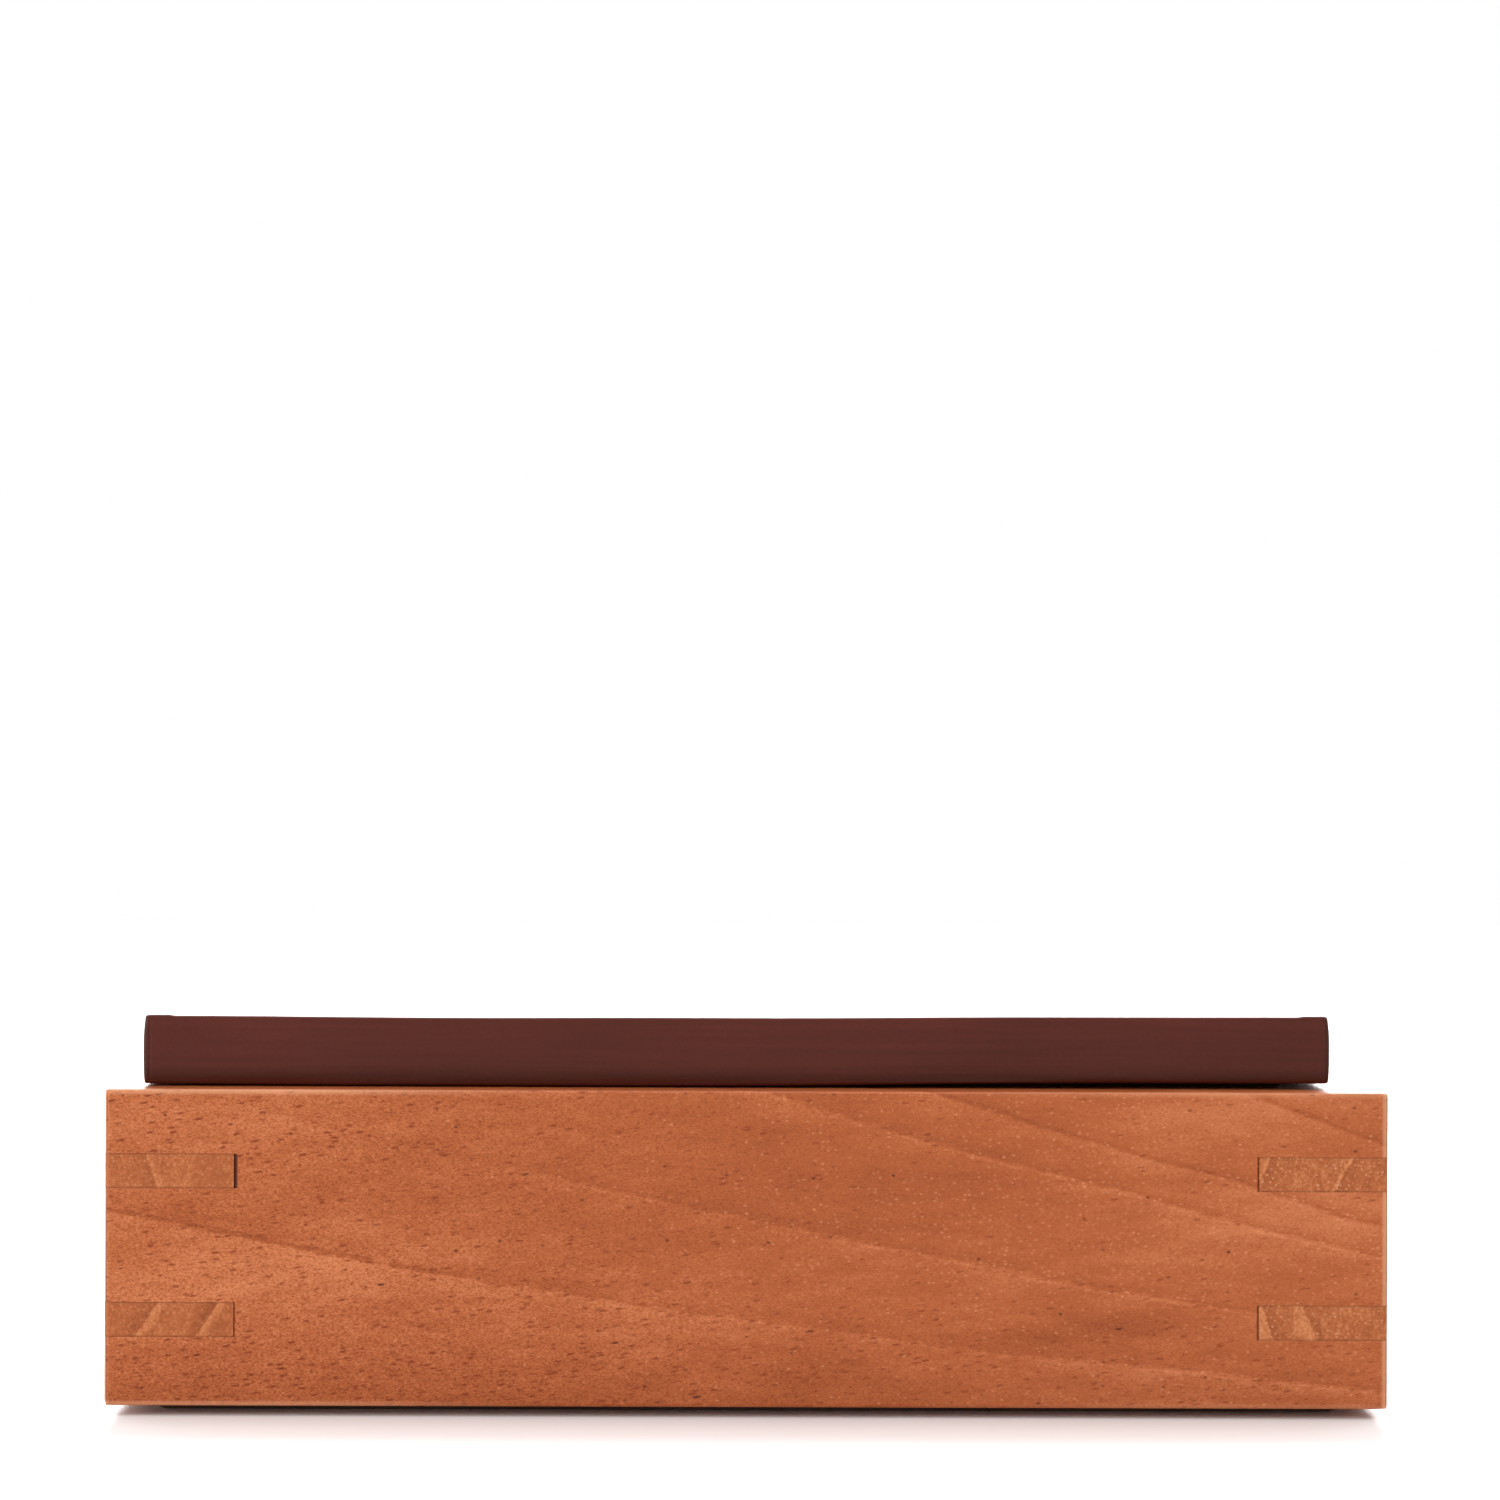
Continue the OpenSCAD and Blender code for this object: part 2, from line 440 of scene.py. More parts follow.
# %% Growth lines
# Growth lines lie where (across + lift + slope * along + bend * along^2 + depth * into), counted
# in spacings, is one of LINES. The spacing changes by taper for each millimetre along the board.
Figure = namedtuple("Figure", "lift slope bend spacing taper depth shift")
WALL_FIGURES = {
    "front": Figure(9.0, 0.14, -0.0004, 12.5, -0.065, 0.4, 0.0),
    "right": Figure(4.0, 0.11, -0.0006, 10.5, 0.03, -0.3, 210.0),
    "back": Figure(-3.0, -0.09, 0.0005, 11.5, 0.04, 0.35, 430.0),
    "left": Figure(6.0, 0.08, 0.0004, 13.0, -0.03, -0.45, 640.0),
}
LINES = (0.0, 1.0, 2.3, 2.88, 4.2)
BEYOND_ALL_LINES = 9.0


def growth(board, figure):
    """A point's place among the growth lines, in spacings, and how far the nearest is, in mm.

    The place is the height above the slope, plus slow drift, divided by the spacing there. The
    nearest line is the least of the distances to LINES. Towards the right the place is ragged."""
    along = board.along
    drift = board.cloudy(board.inner, (45, 12, 12)) * 2.0 + board.cloudy(board.inner, (9, 3, 3)) * 0.6
    height = board.across + figure.lift + figure.slope * along + figure.bend * along * along
    spacing = figure.spacing + figure.taper * along
    rings = (height + figure.depth * board.into + drift) / spacing
    nearest = BEYOND_ALL_LINES
    for line in LINES:
        nearest = board.node("Math", {"operation": "MINIMUM"}, {0: abs(rings - line), 1: nearest})
    ragged = 0.1 * board.rightwards * board.cloudy(board.inner, (1.6, 0.5, 0.5))
    return rings + ragged, nearest * spacing


def ring_tone(board, rings):
    """Tone about zero: pale as a growth line comes near from below, and dark just above it."""
    first, last = LINES[0] - 1, LINES[-1] + 1
    stops = []
    for line in LINES:
        for step_to, tone in ((-0.3, 0.5), (-0.03, 0.72), (0.01, 0.25), (0.18, 0.5)):
            stops.append(((line + step_to - first) / (last - first), (tone, tone, tone)))
    ramp = board.ramp((rings - first) / (last - first), stops)
    return board.node("SeparateColor", {}, {0: ramp}) - 0.5


def line_tone(board, rings, line):
    """Tone of the growth lines. line is 1 on a hard line and 0 off it.

    A hard line is dark at the left, and fainter to the right. The last two lines are darker, and
    at the far left only the first line is clear."""
    clear = 1 - 0.8 * board.fade(board.along, -15.0, -45.0) * board.fade(rings, 0.4, 0.6)
    hard = 0.42 * board.fade(board.along, -42.0, -22.0) - 0.25 - 0.3 * board.fade(rings, 2.5, 2.7)
    return clear * (0.45 * ring_tone(board, rings) + line * hard)


print("growth lines on each wall:", len(LINES))

# %% [markdown]
# ### What lies between the growth lines
#
# Mahogany shimmers: the fibres lean one way and then the other, so it has paler and darker
# ribbons, and its ground is finely crinkled. Noise of four sizes gives that. The front board
# also has broad patches, which noise would never put in the right place, and one long dark
# patch along its foot is painted shade. They are few, so each is an oval that is listed.

# %% The ground of the wood
Patch = namedtuple("Patch", "along across length height turn strength")
FRONT_PATCHES_AND_PAINTED_SHADE = [
    Patch(14, 9, 60, 14, -8, -0.14),
    Patch(44, -10, 26, 3.4, -6, -0.22),
    Patch(10, -14, 13, 9, 0, -0.10),
    # Painted shade: this long dark patch along the foot of the front darkens it where less light comes
    # up from the table.
    Patch(-30, -19, 75, 9, 0, -0.16),
    Patch(-10, 17, 40, 7, -4, -0.07),
    Patch(-62, -4, 46, 9, -8, 0.24),
    Patch(-66, 15, 34, 12, 0, 0.17),
    Patch(68, 4, 30, 8, -14, 0.16),
    Patch(60, 17, 36, 8, -12, 0.2),
]
FLAT_DEPTH = 1000


def patch(board, spot):
    """1 in the middle of a soft oval patch, and 0 outside it.

    A spot is its middle along and across the board, its half lengths, its turn in degrees and
    its strength. The fade follows the distance from the middle, measured in half lengths."""
    offset = board.vector("SUBTRACT", board.place, (spot.along, 0, spot.across))
    oval = board.stretched(offset, (spot.length, FLAT_DEPTH, spot.height), -spot.turn)
    distance = board.node("VectorMath", {"operation": "LENGTH"}, {0: oval}, out="Value")
    return board.fade(distance, 1.0, 0.0)


def ground_tone(board, patches):
    """Tone about zero: clouds, ribbons, fibre and crinkle, and the patches given for the board.

    The two finest are liveliest at the lower left and calmest at the upper right."""
    ribbon = board.cloudy(board.inner, (9, 2.0, 2.0))
    up, right = board.upwards, board.rightwards
    lively = 1.25 - 0.2 * up + right * (0.05 * up - 0.6)
    tone = 0.35 * board.clouds + 0.4 * ribbon
    tone = tone + lively * (0.45 * board.fibre + 1.25 * board.crinkle)
    for spot in patches:
        tone = tone + spot.strength * patch(board, spot)
    return tone


print("patches on the front:", len(FRONT_PATCHES_AND_PAINTED_SHADE))

# %% [markdown]
# ### Vessels, specks and pits
#
# A sawn face cuts through the vessels that carried the tree's sap. Where one lies along the
# face it leaves a short dark dash, and these are thick on the left and bottom and thin on the
# right. Some are filled with pale gum, and such specks take over on the right. Where one runs
# into the wood it shows as a dark pit.
#
# Thousands of dashes could be scattered as small meshes, but they would have no depth. All three
# are cells of one kind of noise, stretched along the grain, and so they are cut by every face.

# %% Dashes strewn through the wood
def dashes(finish, place, lengths, tilt, share, radius):
    """Short dashes strewn through the wood: how much of one covers each point, and its own chance.

    Space is cut into cells of the given lengths, tilted by some degrees. A cell holds a dash
    round its centre when its first random number is below share, and its second one makes the
    dash's radius, in cells, 0.6 to 1.4 times the given radius."""
    cells = finish.node(
        "TexVoronoi",
        {"feature": "F1"},
        {"Vector": finish.stretched(place, lengths, tilt), "Scale": 1.0, "Randomness": 1.0},
        out="Distance",
    )
    chance = finish.node("SeparateColor", {}, {0: cells.other("Color")})
    there = finish.fade(chance - share, 0.01, -0.01)
    reach = radius * (0.6 + 0.8 * chance.other("Green"))
    return there * finish.fade(cells / reach, 1.1, 0.35), chance.other("Blue")


def vessels(board, line):
    """How much of a cut vessel covers each point, and its colour."""
    right = board.rightwards
    top_left = board.fade(board.along, -30.0, -55.0) * board.fade(board.across, 6.0, 12.0)
    low_left = board.fade(board.across, -7.0, -12.0) * (1 - right)
    share = 0.76 - board.upwards * (0.24 + 0.4 * right)
    share = share + 0.6 * board.clouds + 0.5 * line + 0.3 * top_left
    vessel, chance = dashes(board, board.ragged, (2.0, 0.6, 0.62), 8.0, share, 0.29)
    strength = 0.64 - 0.24 * right + 0.16 * low_left + (0.36 + 0.2 * top_left) * chance
    black = board.fade(chance, 0.975, 1.0)
    return vessel * strength, board.mixed(black, opaque(SOFT_VESSEL), opaque(BLACK_VESSEL))


def specks(board, nearest):
    """How much of a pale speck covers each point. They lie in a belt, and strung along the lines."""
    belt = board.fade(board.across, -13.0, -1.0) * (1 - 0.6 * board.fade(board.across, 6.0, 12.0))
    share = 0.1 + 0.9 * board.fade(board.along, -30.0, 35.0) * (0.3 + 0.7 * belt)
    speck, paleness = dashes(board, board.ragged, (0.84, 0.6, 0.56), 4.0, share, 0.31)
    strung = board.rightwards * board.fade(nearest, 1.1, 0.3)
    return speck * (0.08 + (0.42 + 0.2 * strung) * paleness)


def pits(board):
    """How much of a dark pit covers each point. A pit is hardly longer than it is wide."""
    pit, darkness = dashes(board, board.inner, (2.6, 1.0, 1.9), 0.0, 0.24, 0.105)
    return pit * (0.5 + 0.45 * darkness)


print("vessels, specks and pits are dashes of three sizes")

# %% [markdown]
# ### Painted edge highlights and saw cuts
#
# The edges get a painted highlight: a pale colour that stands in for light catching the rounded
# edges. It is strongest along the top edge towards the ends of a wall, and on the right upright
# edge. The mitre shows a fine line of glue. At one key the saw ran a little too far and left an
# open slit, which could be cut into the mesh. It is painted instead, as a dark painted shade,
# because the frame's own shape is never changed.

# %% Edges and slits of a wall
Wall = namedtuple("Wall", "half_length half_height glue_line")
Overcut = namedtuple("Overcut", "along across half_width half_height")


def with_glue_and_painted_highlights(board, wall, colour):
    """A wall's colour with its glue line, which is as dark as wall.glue_line, and painted highlights
    on its edges.

    The painted highlight grows in the last millimetre before an edge, and stops a millimetre into
    the board."""
    sideways, updown = abs(board.along), abs(board.across)
    glue = board.fade(wall.half_length - board.into - sideways, 0.28, 0.1)
    glue = glue * wall.glue_line * (1 - board.rightwards)
    colour = board.mixed(glue, colour, opaque(BLACK_VESSEL))
    # Painted highlight: a pale colour on the top edge, towards the ends and more on the left, and on
    # the right upright edge, standing in for light catching the rounded edges.
    level = board.fade(updown, wall.half_height - 0.8, wall.half_height - 0.3)
    level = level * board.fade(sideways, 20.0, 60.0) * (0.5 - 0.3 * board.rightwards)
    upright = board.fade(sideways, wall.half_length - 0.7, wall.half_length - 0.2)
    painted_highlight = (level + upright * 0.6 * board.rightwards) * board.fade(board.into, 0.9, 0.4)
    return board.mixed(painted_highlight, colour, opaque(PAINTED_EDGE_HIGHLIGHT))


def slit(board, cut):
    """1 in the slit of a saw cut that ran too far, which is painted dark as shade, and 0 outside it."""
    narrow = board.fade(abs(board.along - cut.along), cut.half_width, cut.half_width - 0.1)
    return narrow * board.fade(abs(board.across - cut.across), cut.half_height, cut.half_height - 0.15)


# Prints how far in the painted edge highlight reaches.
print("highlight_paint reaches about a millimetre in from an edge")

# %% The whole finish of a board
DARK_WOOD = (0.282, 0.056, 0.012)
WOOD = (0.472, 0.117, 0.0325)
PALE_WOOD = (0.708, 0.238, 0.096)
SOFT_VESSEL = (0.262, 0.046, 0.0105)
BLACK_VESSEL = (0.060, 0.013, 0.006)
PIT = (0.095, 0.018, 0.003)
PAINTED_SLIT_SHADE = (0.105, 0.026, 0.011)
SPECK = (0.735, 0.290, 0.130)
PAINTED_EDGE_HIGHLIGHT = (0.850, 0.400, 0.210)


def mahogany(name, turn, middle, figure, tone=0.0, wall=None, patches=(), overcuts=()):
    """A board's finish: tones added up round the middle of a ramp, then the marks laid over it.

    turn and middle bring it to its own axes. tone makes the whole board darker or lighter. A
    wall also has painted highlights on its edges, and may have patches and overcuts of its own."""
    board = Board(name, turn, middle, figure.shift)
    rings, nearest = growth(board, figure)
    line = board.fade(nearest + 1.2 * board.cloudy(board.inner, (2.2, 0.6, 0.6)), 0.42, 0.1)
    value = 0.5 + tone + ground_tone(board, patches) + line_tone(board, rings, line)
    vessel, vessel_colour = vessels(board, line)

    colour = board.ramp(value, [(0.0, DARK_WOOD), (0.5, WOOD), (1.0, PALE_WOOD)])
    colour = board.mixed(specks(board, nearest), colour, opaque(SPECK))
    colour = board.mixed(vessel, colour, vessel_colour)
    colour = board.mixed(pits(board), colour, opaque(PIT))
    if wall is not None:
        colour = with_glue_and_painted_highlights(board, wall, colour)
    for cut in overcuts:
        # Painted shade: the open saw cut is darkened in colour.
        colour = board.mixed(slit(board, cut), colour, opaque(PAINTED_SLIT_SHADE))

    return board.surface(
        colour,
        roughness=0.36 + 0.25 * vessel + 0.2 * board.crinkle,
        specular=0.24,
        height=0.5 * board.fibre + 0.4 * board.crinkle - 0.55 * vessel,
        depth=0.05,
    )


print("a board goes from dark to pale through", WOOD)

# %% Put mahogany on the walls
# Painted shade: a dark slit beside one key stands for the shade inside an open saw cut.
FRONT_OVERCUTS = [Overcut(-63.65, 9.55, 0.28, 2.2)]
GLUE_LINES = {"front": 0.6, "right": 0.0, "back": 0.3, "left": 0.3}
half_box = (wall_high.x - wall_low.x) / 2 / MM
half_height = (wall_high.z - wall_low.z) / 2 / MM
middle_of_wall = (wall_low.z + wall_high.z) / 2 / MM


def dress(node, material):
    """Gives a frame part a finish, in place of the plain one that it came with."""
    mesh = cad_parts[node].data
    mesh.materials.clear()
    mesh.materials.append(material)


for number, side in enumerate(SIDES):
    finish_of_wall = mahogany(
        f"mahogany_{side}",
        turn=(0, 0, -90 * number),
        middle=(0, -half_box, middle_of_wall),
        figure=WALL_FIGURES[side],
        wall=Wall(half_box, half_height, GLUE_LINES[side]),
        patches=FRONT_PATCHES_AND_PAINTED_SHADE if side == "front" else (),
        overcuts=FRONT_OVERCUTS if side == "front" else (),
    )
    dress(f"{side}_wall", finish_of_wall)

# %% [markdown]
# ## The keys
#
# A key is a slip of slightly yellower wood, glued into a saw cut across the corner. Its
# grain runs from one face to the other, at 45 degrees to both, so what shows on each face
# is nearly end grain: dots instead of dashes, and growth bands that cross the key at a slope.
# The walls' finish could be turned by 45 degrees for it, but it would show dashes. Each key
# was cut from another place in the strip, so each has its own slope and its own bands.

# %% Growth bands of a key
Bands = namedtuple("Bands", "slope spacing start width strength tone dotted near")
KEY_BANDS = {
    "front_left_upper": Bands(0.33, 17.0, 5.4, 0.9, 0.6, -0.02, 0.5, 0.0),
    "front_left_lower": Bands(-0.7, 7.4, 4.8, 2.0, 1.0, -0.04, 0.45, 0.0),
    "front_right_upper": Bands(0.5, 10.1, 5.0, 0.8, 0.9, 0.04, 1.0, 0.0),
    "front_right_lower": Bands(-0.36, 5.2, 9.2, 2.6, 0.8, 0.06, 0.9, 7.5),
}


def growth_bands(finish, place, outward, across, bands):
    """Tone about zero: a growth band starts where outward + slope * across is start plus a
    whole number of spacings. The wood darkens up to there, is pale at once after for the band's
    width, and plain beyond. Bands show only farther than near from the corner."""
    sway = 1.2 * finish.cloudy(place, (5, 5, 5))
    rings = (outward + bands.slope * across - bands.start + sway) / bands.spacing
    after = finish.node("Math", {"operation": "FRACT"}, {0: rings}) * bands.spacing
    pale = finish.fade(after, 0.0, 0.25) * finish.fade(after, bands.width, bands.width * 0.3)
    band = pale - 0.7 * finish.fade(after, bands.spacing - 2.4, bands.spacing - 0.1)
    return band * finish.fade(outward, bands.near - 1.0, bands.near + 1.0)


print("keys with bands of their own:", ", ".join(KEY_BANDS))

# %% Finish of a key
KEY_DARK = (0.290, 0.072, 0.020)
KEY_WOOD = (0.460, 0.126, 0.038)
KEY_PALE = (0.680, 0.250, 0.095)
KEY_DOT = (0.780, 0.360, 0.180)


def key_finish(name, corner, middle, thickness, bands):
    """A key's finish, in the axes of the front left corner: X and Y from the corner, Z from its
    middle. outward is X + Y, so it grows at the same rate along both faces.

    The tone is the bands, stripes across the grain, clouds and grit. bands.dotted is how
    strongly the cut vessels show, and a line of glue edges the key above and below."""
    finish = Finish(name)
    place = finish.placed((0, 0, -90 * corner), middle)
    x, y, across = finish.axes(place)
    outward = x + y
    turned = finish.node(
        "VectorRotate",
        {"rotation_type": "Z_AXIS"},
        {"Vector": place, "Angle": math.radians(45)},
    )
    stripes = finish.cloudy(turned, (0.9, 12, 2.2), 3.0)
    grit = finish.cloudy(place, (0.36, 0.36, 0.36))
    value = 0.46 + bands.tone + 0.5 * finish.cloudy(place, (6, 6, 6)) + 0.6 * stripes + grit
    value = value + 0.33 * bands.strength * growth_bands(finish, place, outward, across, bands)

    dots, chance = dashes(finish, turned, (0.33, 6.0, 0.42), 0.0, 1.0, 0.42)
    dots = dots * bands.dotted * (0.12 + 0.6 * chance * chance)
    pores, deep = dashes(finish, turned, (1.3, 8.0, 1.3), 0.0, 0.4, 0.16)
    glue = finish.fade(abs(across) + 0.5 * grit, thickness / 2 - 0.22, thickness / 2)
    colour = finish.ramp(value, [(0.0, KEY_DARK), (0.5, KEY_WOOD), (1.0, KEY_PALE)])
    colour = finish.mixed(dots, colour, opaque(KEY_DOT))
    colour = finish.mixed(pores * (0.2 + 0.4 * deep), colour, opaque(SOFT_VESSEL))
    colour = finish.mixed(glue * 0.55, colour, opaque(BLACK_VESSEL))
    return finish.surface(
        colour,
        roughness=0.4 + 0.2 * grit,
        specular=0.2,
        height=0.5 * grit + 0.4 * stripes - 0.6 * pores,
        depth=0.05,
    )


# %% Put the finish on the eight keys
for number, corner in enumerate(CORNERS):
    unseen = Bands(0.4 * number - 0.9, 7.5, 3.0 + number, 2.4, 0.7, 0.0, 0.6, 0.0)
    for row in ROWS:
        node = f"key_{corner}_{row}"
        key_low, key_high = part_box(node)
        finish_of_key = key_finish(
            node,
            corner=number,
            middle=(-half_box, -half_box, (key_low.z + key_high.z) / 2 / MM),
            thickness=(key_high.z - key_low.z) / MM,
            bands=KEY_BANDS.get(f"{corner}_{row}", unseen),
        )
        dress(node, finish_of_key)

# %% [markdown]
# ## Boards that hardly show
#
# The bottom panel, the board inside the lid and the locating panel under it are plain-sawn
# boards of the same wood. They could be left one flat brown, since little of them shows. They
# use the walls' finish instead, turned so that its face looks up.

# %% Finish the flat boards
FLAT_FIGURES = {
    "bottom_panel": Figure(5.0, 0.05, 0.0009, 16.0, 0.02, 0.5, 820.0),
    "lid_board": Figure(-8.0, 0.04, 0.0006, 15.0, -0.02, 0.5, 900.0),
    "lid_locator": Figure(3.0, -0.06, 0.0008, 14.0, 0.03, 0.6, 990.0),
}
for node, figure in FLAT_FIGURES.items():
    top_of_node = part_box(node)[1].z / MM
    dress(node, mahogany(f"mahogany_{node}", (90, 0, 0), (0, -top_of_node, 0), figure, tone=-0.08))

# %% [markdown]
# ## Surfaces from rings
#
# The soft parts are square and thin, with rounded edges. A box with bevelled edges would be
# quick, but its sides would be dead flat. Instead each part is a section carried round a
# square: every point of the section becomes a ring, a square with rounded corners, at its own
# distance from the middle and its own height. The rings are one numpy array, so a swell or
# a fold is one more sum on the whole array.

# %% Rings that follow a rounded square
def round_square(half_widths, radii, along_side, crowd, in_corner=8):
    """Rings about the middle: an array of shape (rings, points, 2).

    A ring's side is a straight run between two corner arcs. Points on a side go as
    sign(t) * (1 - (1 - |t|)^crowd) for even steps of t, so they crowd towards the corners. The
    same quarter, a side and a corner arc, is turned by 90 degrees three times."""
    half = np.asarray(half_widths, float)[:, None]
    radius = np.asarray(radii, float)[:, None]
    steps = np.linspace(-1, 1, along_side + 1)[None, :]
    spread = np.sign(steps) * (1 - (1 - np.abs(steps)) ** crowd)
    side = np.stack([spread * (half - radius), -half + 0 * spread], axis=-1)
    angles = np.linspace(-math.pi / 2, 0, in_corner + 2)[None, 1:-1]
    arc = np.stack(
        [half - radius + radius * np.cos(angles), -half + radius + radius * np.sin(angles)],
        axis=-1,
    )
    quarters = [np.concatenate([side, arc], axis=1)]
    for _ in range(3):
        last = quarters[-1]
        quarters.append(np.stack([-last[..., 1], last[..., 0]], axis=-1))
    return np.concatenate(quarters, axis=1)


print("a ring with 48 steps a side has", round_square([1], [0], 48, 2).shape[1], "points")


# %% Gentle unevenness and smooth steps
def waves(x, y, length, seed, count=7):
    """Gentle unevenness about zero: sine waves of about one length, in seeded directions.

    Each is sin(stride * (x * cos(angle) + y * sin(angle)) + phase), and their total is divided
    by the square root of their count."""
    chance = np.random.default_rng(seed)
    total = np.zeros(np.broadcast(x, y).shape)
    for _ in range(count):
        angle, phase = chance.uniform(0, 2 * math.pi, 2)
        stride = 2 * math.pi / (length * chance.uniform(0.7, 1.5))
        total += np.sin(stride * (x * math.cos(angle) + y * math.sin(angle)) + phase)
    return total / math.sqrt(count)


def step(value, start, end):
    """Goes smoothly from 0 at start to 1 at end: part^2 * (3 - 2 * part)."""
    part = np.clip((value - start) / (end - start), 0, 1)
    return part * part * (3 - 2 * part)


print("halfway along, a step is", step(0.5, 0, 1))


# %% Runs and roundings of a section
def section_of(half, corner, height):
    """Points of a section: rows of a ring's half width, its corner radius and its height."""
    return np.stack(np.broadcast_arrays(half, corner, height), axis=1)


def rounding(edge, height, radius, corner, points=7, side=1):
    """A section's arc from its upper face down to its edge, or for side -1 from the edge to below.

    At each angle from the face, the half width is edge - radius + radius * sin(angle), and the
    point is radius * (1 - cos(angle)) from the face."""
    angle = np.linspace(0, math.pi / 2, points)[::side]
    half = edge - radius + radius * np.sin(angle)
    return section_of(half, corner, height - side * radius * (1 - np.cos(angle)))


print("an edge's rounding has", len(rounding(1, 0, 0.1, 0)), "points")


# %% A closed piece from rings
def faces_of(count, around):
    """Faces between rings, and two fans that draw the first and last ring to one point each.

    Point k of ring r has number r * around + k. Each quad joins two neighbours on a ring to the
    same two on the next ring. The two end points come after all the rings."""
    ring = np.arange(count - 1)[:, None] * around
    here = np.arange(around)[None, :]
    after = (here + 1) % around
    quads = [ring + here, ring + after, ring + around + after, ring + around + here]
    quads = np.stack(quads, axis=-1).reshape(-1, 4)
    here, after = here[0], after[0]
    last = (count - 1) * around
    first_fan = np.stack([np.full(around, count * around), after, here], axis=-1)
    last_fan = np.stack([np.full(around, count * around + 1), last + here, last + after], axis=-1)
    return quads, first_fan, last_fan


def volume_inside(points, quads, fans):
    """The volume that the faces enclose, below zero if they point inwards.

    It is the sum over all triangles of a . (b x c) / 6."""
    triangles = np.concatenate([quads[:, [0, 1, 2]], quads[:, [0, 2, 3]], *fans])
    a, b, c = (points[triangles[:, corner]] for corner in range(3))
    return (a * np.cross(b, c)).sum() / 6


def piece_from_rings(name, rings, material, body, stands_for):
    """A closed, smooth mesh from rings in millimetres, whose faces point outwards."""
    ends = np.stack([rings[0].mean(axis=0), rings[-1].mean(axis=0)])
    points = np.concatenate([rings.reshape(-1, 3), ends]) * MM
    quads, *fans = faces_of(*rings.shape[:2])
    volume = volume_inside(points, quads, fans)
    if volume < 0:
        quads, fans = quads[:, ::-1], [fan[:, ::-1] for fan in fans]

    mesh = bpy.data.meshes.new(name)
    mesh.from_pydata(points.tolist(), [], quads.tolist() + fans[0].tolist() + fans[1].tolist())
    mesh.polygons.foreach_set("use_smooth", np.ones(len(mesh.polygons), bool))
    mesh.materials.append(material)
    mesh.update()
    piece = bpy.data.objects.new(name, mesh)
    scene.collection.objects.link(piece)
    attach(piece, body)
    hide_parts(stands_for)
    print(f"{name}: {len(mesh.vertices)} points, {abs(volume) / MM**3 / 1000:.2f} cm3")
    return piece


# %% [markdown]
# ## Burgundy leather
#
# The cover is a thin, smooth-finished hide. It was glued over the top of the lid, drawn down
# the sides and turned in below, and at each corner the side flap was tucked under
# the front one. So the sides swell a little between their edges, the last few millimetres at
# each corner stand proud by the thickness of the tuck, and a fine upright seam shows there.
#
# Hide has pores and a fine pebbled grain. A flat picture of leather could be laid over the lid,
# but noise in the object's own coordinates needs no seams. The finish is satin, so it has a soft
# shine that grows strong at a low angle.

# %% Finish of the leather
LEATHER_DARK = (0.058, 0.0095, 0.0035)
LEATHER = (0.0925, 0.0165, 0.0092)
LEATHER_PALE = (0.130, 0.025, 0.015)
cover_low, cover_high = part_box("lid_cover")
cover_half = (cover_high.x - cover_low.x) / 2 / MM
cover_middle = (cover_high.x + cover_low.x) / 2 / MM
under_z, top_z = cover_low.z / MM, cover_high.z / MM


def burgundy_leather(name):
    """Satin leather: a pebbled grain of cells, fine pores, slow streaks, and painted shade at the lower
    edge and the ends.
    """
    finish = Finish(name)
    place = finish.placed()
    x, _, z = finish.axes(place)
    cells = finish.node(
        "TexVoronoi",
        {"feature": "SMOOTH_F1"},
        {"Vector": finish.stretched(place, (0.62, 0.62, 0.62)), "Scale": 1.0, "Smoothness": 0.6},
        out="Distance",
    )
    grain = finish.cloudy(place, (0.9, 0.9, 0.9), 3.0)
    fine = finish.cloudy(place, (0.22, 0.22, 0.22))
    streaks = finish.cloudy(place, (26, 26, 0.8), 3.0)
    clouds = finish.cloudy(place, (24, 24, 24), 3.0)
    # Painted shade: the colour is darker towards the lower edge of the sides and over the last
    # millimetre at each end.
    painted_shade_below = finish.fade(z, under_z + 2.6, under_z + 0.6)
    corner = finish.fade(abs(x - cover_middle), cover_half - 1.0, cover_half - 0.4)
    value = 0.5 + 0.6 * clouds + 0.6 * streaks + 0.3 * fine + 0.12 * (cells - 0.5)
    value = value - 0.4 * painted_shade_below - 0.35 * corner
    stops = [(0.0, LEATHER_DARK), (0.5, LEATHER), (1.0, LEATHER_PALE)]
    return finish.surface(
        finish.ramp(value, stops),
        roughness=0.36 + 0.2 * grain + 0.15 * fine + 0.12 * corner,
        specular=0.2,
        height=0.7 * grain - 0.35 * cells + 0.25 * fine,
        depth=0.03,
    )


leather = burgundy_leather("burgundy_leather")

# %% Section of the leather cover
LEATHER_T = 0.6
TOP_EDGE_R = 0.35
LOWER_EDGE_R = 0.35
SIDE_SWELL = 0.2
LOWER_DRAW = 0.1
CORNER_R = 0.55
INNER_CORNER_R = 0.05
TURN_IN = 14.0
board_low, board_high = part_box("lid_board")
board_half = (board_high.x - board_low.x) / 2 / MM
turn_in_edge = cover_half - TURN_IN + 0.05


